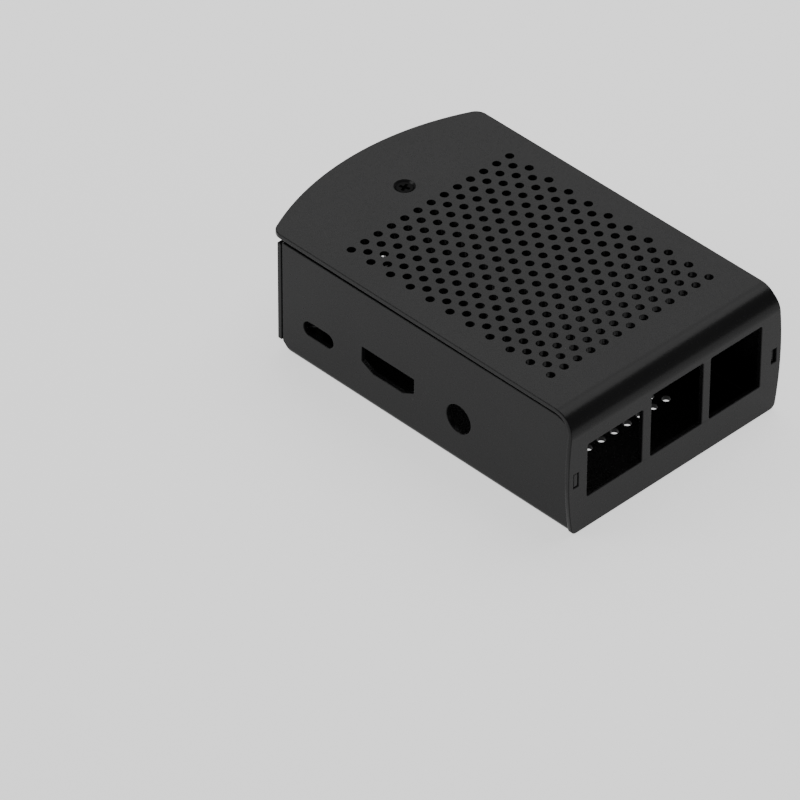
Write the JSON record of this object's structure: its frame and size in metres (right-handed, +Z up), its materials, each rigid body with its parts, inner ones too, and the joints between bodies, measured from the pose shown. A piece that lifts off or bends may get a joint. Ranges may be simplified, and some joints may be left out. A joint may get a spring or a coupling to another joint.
{
  "type": "single board computer case",
  "caption": "Folded sheet metal case for a credit card sized computer board: a tray with side port openings and a perforated cover bent over the port end, held by a countersunk screw.",
  "frame": {"origin": "middle of the footprint, on the underside of the floor", "axes": "+Z up, -Y out of the port panel, +Y towards the round end over the card slot, -X out of the side wall with the power, display and audio openings"},
  "size_m": [0.0648, 0.098, 0.0317],
  "materials": {
    "tray_sheet": "matte black powder coat",
    "cover_sheet": "matte black powder coat",
    "screw_black": "black oxide, glossy",
    "plated_steel": "zinc plated"
  },
  "bodies": {
    "root": {"base_tray": "tray_sheet", "top_cover": "cover_sheet", "cover_screw": "screw_black", "cover_nut": "plated_steel", "standoff_1": "plated_steel", "standoff_2": "plated_steel", "standoff_3": "plated_steel", "standoff_4": "plated_steel"}
  },
  "joints": []
}
